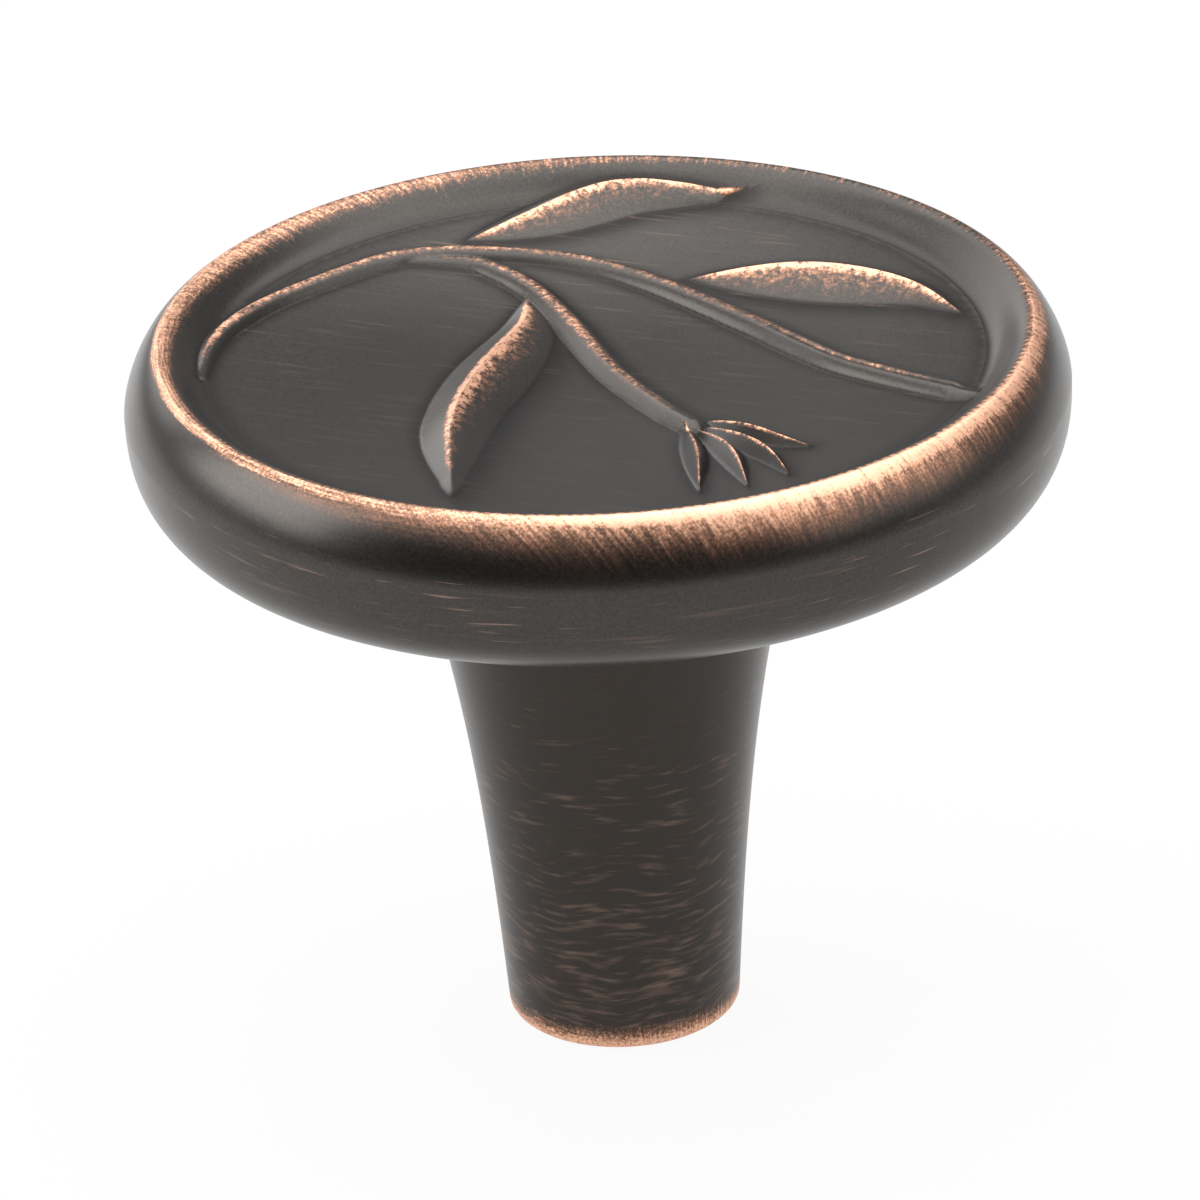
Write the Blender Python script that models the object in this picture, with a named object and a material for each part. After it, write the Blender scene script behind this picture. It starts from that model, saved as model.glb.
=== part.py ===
"""Cabinet knob with a vine, leaves and a flower standing in its dished face.

One casting: a stem that flares from a round foot, a rounded head, and a shallow
dish inside a rolled rim. The foot has a blind hole for the fixing screw. Lengths
are in metres, +Z runs up the stem, and the origin is the centre of the foot's face.
"""
import math

import bmesh
import bpy
import numpy as np

MM = 0.001

# Head
HEAD_DIAMETER = 39.5 * MM
OVERALL_HEIGHT = 31.75 * MM
RIM_INSET = 1.55 * MM            # from the head's edge in to the crest of the rim
SHOULDER_DROP = 2.69 * MM        # from the crest down to the widest line
BELLY_DROP = 4.91 * MM           # from the widest line down to the underside
UNDERSIDE_INSET = 6.12 * MM      # from the head's edge in to the flat underside
SHOULDER_FULLNESS = 1.5          # exponent of the curve above the widest line, 2 is an ellipse
BELLY_FULLNESS = 2.68            # exponent of the curve below it

# Dish
DISH_DEPTH = 1.3 * MM            # from the crest down to the edge of the floor
RIM_INNER_WIDTH = 2.0 * MM       # from the crest in to the edge of the floor
FLOOR_SAG = 0.12 * MM            # how far the middle of the floor lies below its edge

# Stem and foot
FOOT_DIAMETER = 9.96 * MM
STEM_LOWER_DIAMETER = 10.92 * MM  # pull of the stem's curve a third of the way up
STEM_UPPER_DIAMETER = 12.0 * MM   # pull of the stem's curve two thirds of the way up
STEM_TOP_DIAMETER = 15.56 * MM    # where the stem meets the fillet under the head
FOOT_EDGE = 0.33 * MM
FLARE_HEIGHT = 2.89 * MM          # height of the fillet between stem and underside

# Blind hole for an M4 or No. 8 screw, at its tapping size
HOLE_DIAMETER = 3.5 * MM
HOLE_DEPTH = 12.0 * MM
HOLE_COUNTERSINK = 0.5 * MM
DRILL_POINT_ANGLE = math.radians(118.0)

# Relief: plan shapes are drawn as shares of the dish floor's radius, so they follow the floor
VINE_HALF_WIDTH = 0.68 * MM
VINE_HEIGHT = 0.44 * MM
BRANCH_HALF_WIDTH = 0.7 * MM
BRANCH_HEIGHT = 0.46 * MM
LEAF_HALF_WIDTH = 1.95 * MM
LEAF_HEIGHT = 1.04 * MM
LEAF_TIP_SHARE = 0.05            # of the full width and height, left at a leaf's two points
LEAF_LEAN = 0.85                 # below 1, a leaf is widest on the side of its stalk
PETAL_HALF_WIDTH = 0.55 * MM
PETAL_HEIGHT = 0.5 * MM
KNUCKLE_DIAMETER = 1.5 * MM
KNUCKLE_FLATNESS = 0.8
RELIEF_ROOT = 0.4 * MM           # how far the relief is rooted below the floor

VINE_PATH = ((-1.02, -0.04), (-1.0, 0.12), (-0.945, 0.27), (-0.81, 0.445), (-0.56, 0.645), (-0.43, 0.68),
             (-0.3, 0.675), (-0.055, 0.6), (0.155, 0.435), (0.4, 0.15), (0.525, -0.012), (0.645, -0.15),
             (0.88, -0.325), (0.95, -0.35))
BRANCH_PATH = ((-0.5, 0.655), (-0.35, 0.63), (-0.27, 0.575), (-0.16, 0.425), (-0.06, 0.18), (0.04, -0.116),
               (0.16, -0.352), (0.23, -0.46))
BACK_LEAF = ((-0.325, 0.775), (-0.165, 0.855), (0.06, 0.99), (0.24, 1.0), (0.44, 0.965))
RIGHT_LEAF = ((0.26, 0.462), (0.41, 0.437), (0.55, 0.405), (0.73, 0.338), (0.85, 0.27), (0.945, 0.165))
FRONT_LEAF = ((-0.17, 0.38), (-0.185, 0.16), (-0.28, -0.12), (-0.345, -0.325), (-0.372, -0.51), (-0.37, -0.8))
PETALS = (((0.215, -0.46), (0.24, -0.65), (0.24, -0.845)),
          ((0.245, -0.48), (0.325, -0.65), (0.36, -0.825)),
          ((0.265, -0.465), (0.405, -0.64), (0.465, -0.77)),
          ((0.27, -0.43), (0.43, -0.565), (0.525, -0.61)))
KNUCKLE_PLACE = (0.235, -0.455)

# Fineness of the solids
TURN_STEPS = 72
ARC_STEPS = 6
STEM_STEPS = 8
FLOOR_RINGS = 4

# Sizes that follow from the ones above
HEAD_RADIUS = HEAD_DIAMETER / 2
CREST_RADIUS = HEAD_RADIUS - RIM_INSET
FLOOR_RADIUS = CREST_RADIUS - RIM_INNER_WIDTH
WIDEST_Z = OVERALL_HEIGHT - SHOULDER_DROP
UNDERSIDE_Z = WIDEST_Z - BELLY_DROP
UNDERSIDE_RADIUS = HEAD_RADIUS - UNDERSIDE_INSET
FLOOR_EDGE_Z = OVERALL_HEIGHT - DISH_DEPTH
STEM_TOP_Z = UNDERSIDE_Z - FLARE_HEIGHT


def quarter_curve(centre, reach, rise, fullness, start, end):
    """Points on a quarter of a superellipse, from angle start to angle end."""
    points = []
    for angle in np.linspace(start, end, ARC_STEPS + 1):
        across = math.copysign(abs(math.cos(angle)) ** (2 / fullness), math.cos(angle))
        up = math.copysign(abs(math.sin(angle)) ** (2 / fullness), math.sin(angle))
        points.append((centre[0] + reach * across, centre[1] + rise * up))
    return points


def stem_curve():
    """Points up the stem's side, on one cubic curve from the foot to the flare."""
    radii = [d / 2 for d in (FOOT_DIAMETER, STEM_LOWER_DIAMETER, STEM_UPPER_DIAMETER, STEM_TOP_DIAMETER)]
    above_edge = FOOT_EDGE / STEM_TOP_Z
    points = []
    for t in np.linspace(above_edge, 1.0, STEM_STEPS + 1):
        weights = ((1 - t) ** 3, 3 * t * (1 - t) ** 2, 3 * t ** 2 * (1 - t), t ** 3)
        points.append((sum(w * r for w, r in zip(weights, radii)), t * STEM_TOP_Z))
    return points


def flare_curve():
    """Points on the fillet that turns the stem's side into the flat underside."""
    end_slope = 3 * (STEM_TOP_DIAMETER - STEM_UPPER_DIAMETER) / 2 / STEM_TOP_Z
    lean = math.atan(end_slope)
    radius = FLARE_HEIGHT / (1 - math.sin(lean))
    points = []
    for angle in np.linspace(lean, math.pi / 2, ARC_STEPS + 1)[1:]:
        points.append((STEM_TOP_DIAMETER / 2 + radius * (math.cos(lean) - math.cos(angle)),
                       STEM_TOP_Z + radius * (math.sin(angle) - math.sin(lean))))
    return points


def floor_z(radius):
    """Height of the dish floor at a radius: a shallow bowl, lowest in the middle."""
    share = min(radius / FLOOR_RADIUS, 1.0)
    return FLOOR_EDGE_Z - FLOOR_SAG * (1 - share ** 2)


def rim_inside():
    """Points from the rim's crest down to the floor's edge: a soft roll into a hollow fillet."""
    points = []
    for t in np.linspace(0.0, 1.0, ARC_STEPS + 1)[1:]:
        fall = 0.5 - 0.5 * math.cos(math.pi * t)
        points.append((CREST_RADIUS - RIM_INNER_WIDTH * t, OVERALL_HEIGHT - DISH_DEPTH * fall))
    return points


def casting_outline():
    """The turned section, from the bottom of the hole round the outside to the middle of the dish."""
    hole = HOLE_DIAMETER / 2
    drill_point = hole / math.tan(DRILL_POINT_ANGLE / 2)
    outline = [(0.0, HOLE_DEPTH + drill_point), (hole, HOLE_DEPTH), (hole, HOLE_COUNTERSINK),
               (hole + HOLE_COUNTERSINK, 0.0), (FOOT_DIAMETER / 2 - FOOT_EDGE, 0.0)]
    outline += stem_curve()
    outline += flare_curve()
    belly = quarter_curve((UNDERSIDE_RADIUS, WIDEST_Z), UNDERSIDE_INSET, BELLY_DROP, BELLY_FULLNESS,
                          -math.pi / 2, 0.0)
    shoulder = quarter_curve((CREST_RADIUS, WIDEST_Z), RIM_INSET, SHOULDER_DROP, SHOULDER_FULLNESS,
                             0.0, math.pi / 2)
    outline += belly + shoulder[1:]
    outline += rim_inside()
    for share in np.linspace(1.0, 0.0, FLOOR_RINGS + 1)[1:]:
        outline.append((FLOOR_RADIUS * share, floor_z(FLOOR_RADIUS * share)))
    return outline


def new_object(name, build):
    """Add an object whose mesh is made by build, a function that fills a bmesh."""
    mesh = bpy.data.meshes.new(name)
    shape = bmesh.new()
    build(shape)
    bmesh.ops.recalc_face_normals(shape, faces=shape.faces)
    shape.to_mesh(mesh)
    shape.free()
    result = bpy.data.objects.new(name, mesh)
    bpy.context.collection.objects.link(result)
    return result


def turn_casting(shape):
    """Spin the casting's outline once round the Z axis."""
    verts = [shape.verts.new((radius, 0.0, height)) for radius, height in casting_outline()]
    edges = [shape.edges.new(pair) for pair in zip(verts, verts[1:])]
    bmesh.ops.spin(shape, geom=verts + edges, cent=(0, 0, 0), axis=(0, 0, 1), angle=2 * math.pi,
                   steps=TURN_STEPS, use_merge=True)
    bmesh.ops.remove_doubles(shape, verts=shape.verts, dist=0.001 * MM)


def smooth_path(points, count):
    """Evenly numbered points on a Catmull-Rom curve through points drawn on the dish floor."""
    drawn = np.array(points) * FLOOR_RADIUS
    drawn = np.vstack([2 * drawn[0] - drawn[1], drawn, 2 * drawn[-1] - drawn[-2]])
    path = []
    for place in np.linspace(0.0, len(points) - 1.0, count):
        first = min(int(place), len(points) - 2)
        t = place - first
        a, b, c, d = drawn[first:first + 4]
        path.append(0.5 * (2 * b + (c - a) * t + (2 * a - 5 * b + 4 * c - d) * t ** 2
                           + (3 * b - a - 3 * c + d) * t ** 3))
    return np.array(path)


def run_relief(shape, path, section, width_at, height_at):
    """Run a section along a path on the floor, rooted below it, with closed ends."""
    ahead = np.gradient(path, axis=0)
    ahead /= np.linalg.norm(ahead, axis=1)[:, None]
    rings = []
    for step, (point, heading) in enumerate(zip(path, ahead)):
        t = step / (len(path) - 1)
        side = np.array((-heading[1], heading[0]))
        base = floor_z(math.hypot(*point))
        ring = [shape.verts.new((*(point + side * across * width_at(t)), base + up * height_at(t)))
                for across, up in section]
        for across in (-1.0, 1.0):
            foot = point + side * across * width_at(t)
            ring.append(shape.verts.new((*foot, base - RELIEF_ROOT)))
        rings.append(ring)
    count = len(rings[0])
    for ring, following in zip(rings, rings[1:]):
        for i in range(count):
            j = (i + 1) % count
            shape.faces.new((ring[i], ring[j], following[j], following[i]))
    shape.faces.new(rings[0])
    shape.faces.new(rings[-1])


def rounded_section(sides=6):
    """A low rounded section, from its +1 side over the top to its -1 side."""
    return [(math.cos(math.pi * i / sides), math.sin(math.pi * i / sides)) for i in range(sides + 1)]


RIDGED_SECTION = ((1.0, 0.0), (0.0, 1.0), (-1.0, 0.0))


def vine_relief(name, path, half_width, height, count, first_share, last_share):
    """A vine stem, whose two ends are first_share and last_share times its middle size."""
    def swell(t):
        return np.interp(t, (0.0, 0.25, 0.5, 1.0), (first_share, 1.0, 1.0, last_share))

    def build(shape):
        run_relief(shape, smooth_path(path, count), rounded_section(),
                   lambda t: half_width * swell(t), lambda t: height * swell(t))
    return new_object(name, build)


def leaf_relief(name, path, half_width, height, count):
    """A leaf or petal: two slopes that meet in a ridge, pointed at both ends."""
    def swell(t, lean):
        return LEAF_TIP_SHARE + (1 - LEAF_TIP_SHARE) * math.sin(math.pi * t ** lean)

    def build(shape):
        run_relief(shape, smooth_path(path, count), RIDGED_SECTION,
                   lambda t: half_width * swell(t, LEAF_LEAN), lambda t: height * swell(t, 1.0))
    return new_object(name, build)


def knuckle_relief(name):
    """The low boss where the petals spring from the branch."""
    x, y = (share * FLOOR_RADIUS for share in KNUCKLE_PLACE)

    def build(shape):
        bmesh.ops.create_uvsphere(shape, u_segments=12, v_segments=8, radius=KNUCKLE_DIAMETER / 2)
        lift = floor_z(math.hypot(x, y))
        for vert in shape.verts:
            vert.co = (vert.co.x + x, vert.co.y + y, vert.co.z * KNUCKLE_FLATNESS + lift)
    return new_object(name, build)


def add_relief():
    """Every raised shape on the dish floor."""
    shapes = [vine_relief("vine", VINE_PATH, VINE_HALF_WIDTH, VINE_HEIGHT, 44, 0.6, 1.15),
              vine_relief("branch", BRANCH_PATH, BRANCH_HALF_WIDTH, BRANCH_HEIGHT, 26, 0.5, 0.95),
              leaf_relief("back_leaf", BACK_LEAF, LEAF_HALF_WIDTH, LEAF_HEIGHT, 17),
              leaf_relief("right_leaf", RIGHT_LEAF, LEAF_HALF_WIDTH, LEAF_HEIGHT, 17),
              leaf_relief("front_leaf", FRONT_LEAF, LEAF_HALF_WIDTH, LEAF_HEIGHT, 21),
              knuckle_relief("flower_knuckle")]
    for number, path in enumerate(PETALS, start=1):
        shapes.append(leaf_relief(f"petal_{number}", path, PETAL_HALF_WIDTH, PETAL_HEIGHT, 9))
    return shapes


def join_relief(body, shapes):
    """Grow the raised shapes out of the casting, so that they are one metal."""
    for shape in shapes:
        union = body.modifiers.new(f"{shape.name}_cast_in", "BOOLEAN")
        union.operation = "UNION"
        union.solver = "EXACT"
        union.object = shape
        shape.hide_render = True
        shape.display_type = "WIRE"
        shape.parent = body


def bronze():
    """Dark brown bronze plating with a satin sheen."""
    material = bpy.data.materials.new("dark_bronze")
    material.use_nodes = True
    shader = material.node_tree.nodes["Principled BSDF"]
    shader.inputs["Base Color"].default_value = (0.075, 0.06, 0.052, 1.0)
    shader.inputs["Metallic"].default_value = 0.9
    shader.inputs["Roughness"].default_value = 0.42
    return material


def build_knob():
    """The whole knob, as one body."""
    for old in list(bpy.data.objects):
        bpy.data.objects.remove(old)
    body = new_object("knob_body", turn_casting)
    body.data.materials.append(bronze())
    body.data.shade_smooth()
    body.data.set_sharp_from_angle(angle=math.radians(40))
    join_relief(body, add_relief())


build_knob()
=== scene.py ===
"""Looks of a cabinet knob: its cast relief, its rubbed bronze finish, the studio and the camera.

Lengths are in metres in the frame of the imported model: +Z runs up the stem, the foot's
face lies at height 0, and -Y is the side that faces the camera. Coordinates that only feed
textures are in millimetres.
"""
from __future__ import annotations

import logging
import math
from dataclasses import dataclass, field
from enum import Enum
from typing import NamedTuple, Sequence

import bmesh
import bpy
import numpy as np
from mathutils import Matrix, Vector
from mathutils.geometry import delaunay_2d_cdt

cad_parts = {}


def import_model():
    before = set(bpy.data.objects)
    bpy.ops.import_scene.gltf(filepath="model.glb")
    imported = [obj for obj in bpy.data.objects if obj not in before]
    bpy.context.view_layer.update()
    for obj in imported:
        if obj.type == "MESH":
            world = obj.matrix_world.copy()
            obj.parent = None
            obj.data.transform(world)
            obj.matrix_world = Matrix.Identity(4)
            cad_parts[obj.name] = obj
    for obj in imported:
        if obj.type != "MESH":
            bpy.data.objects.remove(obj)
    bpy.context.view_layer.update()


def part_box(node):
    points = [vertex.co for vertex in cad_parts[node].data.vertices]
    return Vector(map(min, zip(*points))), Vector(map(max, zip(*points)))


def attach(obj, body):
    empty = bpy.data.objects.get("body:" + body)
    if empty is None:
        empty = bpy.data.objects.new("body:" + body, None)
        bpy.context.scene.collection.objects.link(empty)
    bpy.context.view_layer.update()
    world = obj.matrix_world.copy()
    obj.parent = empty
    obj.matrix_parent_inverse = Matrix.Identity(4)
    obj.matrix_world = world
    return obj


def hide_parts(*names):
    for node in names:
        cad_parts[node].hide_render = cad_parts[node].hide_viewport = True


MM = 0.001
CAD_NODE = "knob_body"
VECTOR_LAYERS = ("around", "hatch", "grain", "wear", "lay", "dish")
LOG = logging.getLogger("knob")
Triple = tuple[float, float, float]


# Shader building

class Value:
    """A number socket of a shader graph, on which Python's operators add Math nodes."""

    def __init__(self, graph: Graph, socket: bpy.types.NodeSocket) -> None:
        """Wrap an output socket of the graph."""
        self.graph = graph
        self.socket = socket

    def _math(self, operation: str, *operands: Value | float) -> Value:
        """Add a Math node with its inputs in order."""
        inputs = dict(enumerate(operands))
        return self.graph.value("ShaderNodeMath", {"operation": operation}, inputs)

    def __add__(self, other: Value | float) -> Value:
        """Sum."""
        return self._math("ADD", self, other)

    __radd__ = __add__

    def __sub__(self, other: Value | float) -> Value:
        """Difference."""
        return self._math("SUBTRACT", self, other)

    def __rsub__(self, other: float) -> Value:
        """Difference from a plain number."""
        return self._math("SUBTRACT", other, self)

    def __mul__(self, other: Value | float) -> Value:
        """Product."""
        return self._math("MULTIPLY", self, other)

    __rmul__ = __mul__

    def __truediv__(self, other: Value | float) -> Value:
        """Quotient."""
        return self._math("DIVIDE", self, other)

    def __pow__(self, other: Value | float) -> Value:
        """Power."""
        return self._math("POWER", self, other)

    def highest(self, other: Value | float) -> Value:
        """The larger of the two."""
        return self._math("MAXIMUM", self, other)

    def lowest(self, other: Value | float) -> Value:
        """The smaller of the two."""
        return self._math("MINIMUM", self, other)

    def ramp(self, start: float, end: float) -> Value:
        """A smooth step from 0 at start to 1 at end, also downwards.

        Args:
            start: The value that gives 0.
            end: The value that gives 1.

        Returns:
            The eased share between them.
        """
        settings = {"interpolation_type": "SMOOTHSTEP"}
        inputs = {"Value": self, "From Min": start, "From Max": end}
        return self.graph.value("ShaderNodeMapRange", settings, inputs)


class Graph:
    """A material's or world's node tree, built through one method."""

    def __init__(self, tree: bpy.types.NodeTree) -> None:
        """Start with an empty tree."""
        self.tree = tree
        tree.nodes.clear()

    def node(self, kind: str, settings: dict | None = None, inputs: dict | None = None) -> bpy.types.Node:
        """Add any node.

        Args:
            kind: The node's type.
            settings: Properties, set before the sockets.
            inputs: Socket names or numbers, with the value or the link of each.

        Returns:
            The node.
        """
        made = self.tree.nodes.new(kind)
        for name, setting in (settings or {}).items():
            setattr(made, name, setting)
        for name, given in (inputs or {}).items():
            if isinstance(given, Value):
                given = given.socket
            if isinstance(given, bpy.types.NodeSocket):
                self.tree.links.new(given, made.inputs[name])
            else:
                made.inputs[name].default_value = given
        return made

    def value(self, kind: str, settings: dict | None = None, inputs: dict | None = None,
              output: int | str = 0) -> Value:
        """Add any node and wrap one of its outputs, given by its name or number."""
        return Value(self, self.node(kind, settings, inputs).outputs[output])

    def attribute(self, name: str) -> bpy.types.NodeSocket:
        """The vector of a mesh attribute."""
        return self.node("ShaderNodeAttribute", {"attribute_name": name}).outputs["Vector"]

    def parts(self, vector: bpy.types.NodeSocket) -> tuple[Value, Value, Value]:
        """The three numbers of a vector."""
        split = self.node("ShaderNodeSeparateXYZ", None, {"Vector": vector})
        return tuple(Value(self, socket) for socket in split.outputs)

    def noise(self, where: bpy.types.NodeSocket, scale: Sequence[float], detail: float = 2.0,
              roughness: float = 0.55, offset: Sequence[float] = (0.0, 0.0, 0.0)) -> Value:
        """Noise around 0.5, stretched by a scale for each axis.

        Args:
            where: The coordinates.
            scale: Features per unit along each of them.
            detail: Octaves past the first.
            roughness: Strength of the finer octaves.
            offset: Shift of the pattern, to make it another one.

        Returns:
            The noise.
        """
        placed = self.node("ShaderNodeVectorMath", {"operation": "MULTIPLY_ADD"},
                           {0: where, 1: tuple(scale), 2: tuple(offset)}).outputs[0]
        return self.value("ShaderNodeTexNoise", {"noise_dimensions": "3D"},
                          {"Vector": placed, "Scale": 1.0, "Detail": detail, "Roughness": roughness})

    def blend(self, share: Value, *colours: Value | Triple) -> Value:
        """Mix two colours, linked or plain: a share of 0 gives the first, 1 the second."""
        first, second = (c if isinstance(c, Value) else (*c, 1.0) for c in colours)
        return self.value("ShaderNodeMix", {"data_type": "RGBA"}, {0: share, 6: first, 7: second}, 2)


@dataclass(frozen=True)
class RubbedBronze:
    """Dark bronze plating, rubbed through to copper on edges and ridges.

    Sizes of grain, strokes and scratches are in millimetres.
    """

    bronze: Triple = (0.069, 0.0635, 0.059)
    # Painted shade: a darker bronze for the stem and the lowest part under the head.
    bronze_deep: Triple = (0.049, 0.0445, 0.041)
    stem_painted_shade_tone: Triple = (0.041, 0.034, 0.029)
    # Painted shade: a near-black tone laid into corners and contact shadows beside the relief, also used
    # for the petals' patina.
    painted_shade_and_patina_tone: Triple = (0.014, 0.012, 0.011)
    copper: Triple = (0.88, 0.51, 0.345)
    copper_dull: Triple = (0.44, 0.21, 0.125)
    scuffed: Triple = (0.42, 0.27, 0.21)
    stem_painted_shade_share: float = 0.85
    painted_shade_and_patina_share: float = 0.95
    bronze_metallic: float = 0.88
    bronze_roughness: float = 0.3
    copper_roughness: float = 0.48
    roughness_grain: float = 0.12
    grain_size: float = 0.12
    blotch_size: float = 0.32
    cloud_size: float = 5.0
    hatch_spacing: float = 0.19
    hatch_length: float = 1.8
    polish_spacing: float = 0.09
    polish_length: float = 2.6
    scratch_spacing: float = 0.3
    scratch_length: float = 4.5
    scratch_turn: float = math.radians(22)
    ridge_level: float = 0.78
    stroke_level: float = 0.85
    brush_level: float = 0.3
    score_level: float = 0.45
    scratch_level: float = 0.22
    bump_depth: float = 0.003 * MM
    bowl_depth: float = 2.0 * MM

    def material(self, crest_radius: float, floor_radius: float) -> bpy.types.Material:
        """Build the finish.

        Args:
            crest_radius: Radius of the rim's crest, which the rim's hatching is scaled to.
            floor_radius: Radius of the dish floor, which is shaded as a concave bowl.

        Returns:
            The material.
        """
        made = bpy.data.materials.new("rubbed_bronze")
        made.use_nodes = True
        graph = Graph(made.node_tree)
        around = graph.attribute("around")
        rim_wear, ridge_wear, brush_wear = graph.parts(graph.attribute("wear"))
        lay, scuff, stroke_wear = graph.parts(graph.attribute("lay"))
        inside, painted_shade_and_patina, stem = graph.parts(graph.attribute("dish"))
        place = graph.node("ShaderNodeTexCoord").outputs["Object"]
        fine = self._grain(graph, place, self.grain_size, 0.6)
        blotch = self._grain(graph, place, self.blotch_size, 0.6, (2.0, 6.0, 4.0))
        cloud = self._grain(graph, place, self.cloud_size, 0.5, (3.0, 1.0, 7.0))
        strokes = self._rim_strokes(graph, around, lay, crest_radius / MM)
        rim = self._rim_mask(rim_wear, stroke_wear, strokes, fine, cloud)
        bright = rim.highest(self._ridge_mask(graph, ridge_wear, fine, blotch))
        brush, bristle = self._brush_marks(graph, around, brush_wear)
        faint = brush.highest(self._floor_scratches(graph, place) * scuff)
        speckle = (fine + (cloud - 0.5) * 0.25).ramp(0.2, 0.8)
        plating = graph.blend(speckle, self.bronze_deep, self.bronze)
        # Painted shade: the stem and the fillet under the head take a darker bronze.
        plating = graph.blend(stem * self.stem_painted_shade_share, plating, self.stem_painted_shade_tone)
        # Painted shade at the rim's inner foot and beside the relief, plus the petals' patina, darkens the
        # plating here.
        plating = graph.blend(painted_shade_and_patina * self.painted_shade_and_patina_share, plating, self.painted_shade_and_patina_tone)
        plating = graph.blend(faint, plating, self.scuffed)
        shine = (bright + (fine - 0.5) * 0.5).ramp(0.25, 1.0)
        metal = graph.blend(shine, self.copper_dull, self.copper)
        gloss = self.bronze_roughness + (self.copper_roughness - self.bronze_roughness) * bright
        bump = graph.node("ShaderNodeBump", None, {
            "Strength": 0.6,
            "Distance": self.bump_depth,
            "Height": fine * 0.5 + bristle * 0.5 + cloud * 1.5,
            "Normal": self._bowl(graph, place, inside, floor_radius),
        })
        shader = graph.node("ShaderNodeBsdfPrincipled", None, {
            "Base Color": graph.blend(bright.ramp(0.0, 0.75), plating, metal),
            "Metallic": self.bronze_metallic + (1 - self.bronze_metallic) * bright,
            "Roughness": gloss + (fine - 0.5) * self.roughness_grain,
            "Normal": bump.outputs["Normal"],
            "Specular IOR Level": 0.5,
        })
        graph.node("ShaderNodeOutputMaterial", None, {"Surface": shader.outputs["BSDF"]})
        return made

    @staticmethod
    def _grain(graph: Graph, place: bpy.types.NodeSocket, size: float, roughness: float,
               offset: Triple = (0.0, 0.0, 0.0)) -> Value:
        """Even noise with features of a size in millimetres."""
        return graph.noise(place, [1 / (size * MM)] * 3, 2.0, roughness, offset)

    def _bowl(self, graph: Graph, place: bpy.types.NodeSocket, inside: Value,
              floor_radius: float) -> bpy.types.NodeSocket:
        """Normals of the dish floor, which is polished a little concave.

        Args:
            graph: The material's graph.
            place: Coordinates in metres.
            inside: 1 in the dish, 0 elsewhere.
            floor_radius: Where the hollow ends.

        Returns:
            The normals.
        """
        x, y, _ = graph.parts(place)
        inwards = 1 - ((x * x + y * y) / floor_radius ** 2).lowest(1.0)
        height = inwards * (inwards * 0.35 + 0.5) * inside * -1
        return graph.node("ShaderNodeBump", None, {"Strength": 1.0, "Distance": self.bowl_depth,
                                                   "Height": height}).outputs["Normal"]

    def _rim_strokes(self, graph: Graph, around: bpy.types.NodeSocket, lay: Value, radius: float) -> Value:
        """Strokes on the rim, around 0.

        Args:
            graph: The material's graph.
            around: Direction round the axis, and millimetres down from the crest.
            lay: 0 where the strokes run along the rim, 1 where they run across it.
            radius: The crest's radius in millimetres.

        Returns:
            The strokes.
        """
        hatch = radius / self.hatch_spacing
        across = graph.noise(graph.attribute("hatch"), (hatch, hatch, 1 / self.hatch_length), 3.0, 0.6)
        polish = radius / self.polish_length
        along = graph.noise(around, (polish, polish, 1 / self.polish_spacing), 3.0, 0.6, (5.0, 2.0, 0.0))
        return across * lay + along * (1 - lay) - 0.5

    def _rim_mask(self, wear: Value, stroke_wear: Value, strokes: Value, fine: Value,
                  cloud: Value) -> Value:
        """Where the rim and the foot's edge are rubbed: a bare band, and strokes that run off it.

        Args:
            wear: How bare the band is.
            stroke_wear: How thickly the strokes beside it lie.
            strokes: The strokes, around 0.
            fine: Fine grain.
            cloud: Coarse unevenness.

        Returns:
            Bare copper's share.
        """
        grit = fine - 0.5
        band = (wear + strokes * 1.1 + grit * 0.8).ramp(0.1, 1.25)
        uneven = 1 + strokes * 2.1 + grit * 1.2 + (cloud - 0.5) * 1.4
        return band.highest((stroke_wear * uneven).ramp(-0.1, 1.4) * self.stroke_level)

    def _ridge_mask(self, graph: Graph, wear: Value, fine: Value, blotch: Value) -> Value:
        """Where the relief is rubbed: blotches and short strokes that run down from the ridges.

        Args:
            graph: The material's graph.
            wear: How deep in the rubbed band a point lies.
            fine: Fine grain.
            blotch: Unevenness a little coarser than the grain.

        Returns:
            Bare copper's share.
        """
        scale = (1 / self.hatch_spacing, 1 / self.hatch_length, 1.0)
        strokes = graph.noise(graph.attribute("grain"), scale, 3.0, 0.65)
        level = wear * (1 + (strokes - 0.5) * 0.9 + (fine - 0.5) * 1.3 + (blotch - 0.5) * 2.2)
        return level.ramp(0.08, 0.9) * self.ridge_level

    def _brush_marks(self, graph: Graph, around: bpy.types.NodeSocket, wear: Value) -> tuple[Value, Value]:
        """Short strokes round the stem, thicker towards the foot, and scratches on the head's side.

        Args:
            graph: The material's graph.
            around: Direction round the axis, and millimetres down from the crest.
            wear: How thickly the strokes lie.

        Returns:
            The marks' share of scuffed plating, and the strokes' height.
        """
        warp = graph.noise(around, (1.3, 1.3, 0.25), 1.0, 0.5, (9.0, 4.0, 1.0))
        sway = graph.node("ShaderNodeCombineXYZ", None, {"Z": warp * 1.3}).outputs[0]
        bent = graph.node("ShaderNodeVectorMath", {"operation": "ADD"}, {0: around, 1: sway}).outputs[0]
        strokes = graph.noise(bent, (3.6, 3.6, 4.4), 2.0, 0.5, (1.0, 8.0, 3.0))
        brushed = (strokes + (wear - 1) * 0.3).ramp(0.4, 0.82) * self.brush_level
        scores = graph.noise(bent, (7.0, 7.0, 10.0), 1.0, 0.5, (6.0, 2.0, 5.0)).ramp(0.66, 0.8)
        on_head = (graph.parts(around)[2] * -1).ramp(-9.0, -6.0)
        return brushed.highest(scores * on_head * self.score_level) * wear.ramp(0.0, 0.25), strokes

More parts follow.
